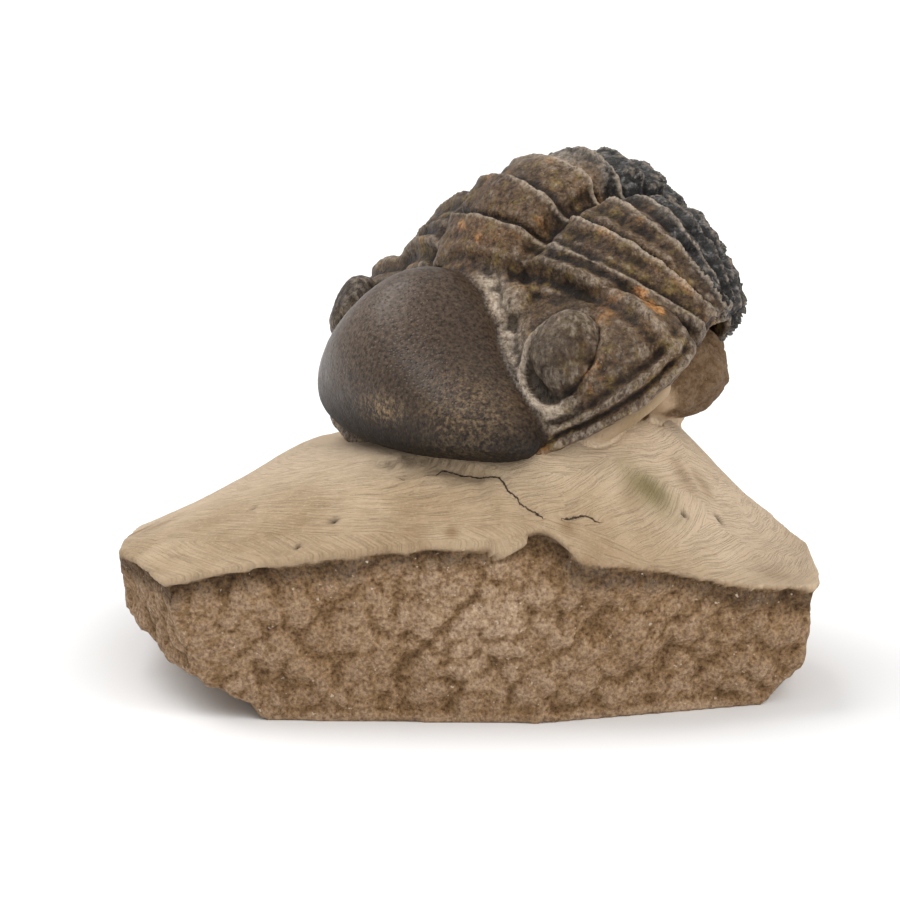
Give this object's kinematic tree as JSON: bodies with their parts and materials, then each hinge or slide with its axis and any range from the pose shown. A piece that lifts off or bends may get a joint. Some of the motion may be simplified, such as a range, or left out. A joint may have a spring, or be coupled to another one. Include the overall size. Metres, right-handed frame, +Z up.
{
  "type": "trilobite fossil",
  "caption": "Half-enrolled dark trilobite with a large smooth glabella, resting on a carved pedestal of pale, rough-sided limestone.",
  "frame": {"origin": "under the middle of the block, on the flat face that it rests on", "axes": "+Z up; +X along the block's length; the animal's head looks towards -X and -Y, and the broken front face looks towards -Y"},
  "size_m": [0.1064, 0.09, 0.0788],
  "materials": {
    "limestone": "carved matt limestone above, rough brown broken stone on the sides",
    "fossil_calcite": "dark grey-brown calcite, softly polished on the glabella and granular elsewhere"
  },
  "bodies": {
    "root": {"limestone_block": "limestone", "trilobite": "fossil_calcite"}
  },
  "joints": []
}
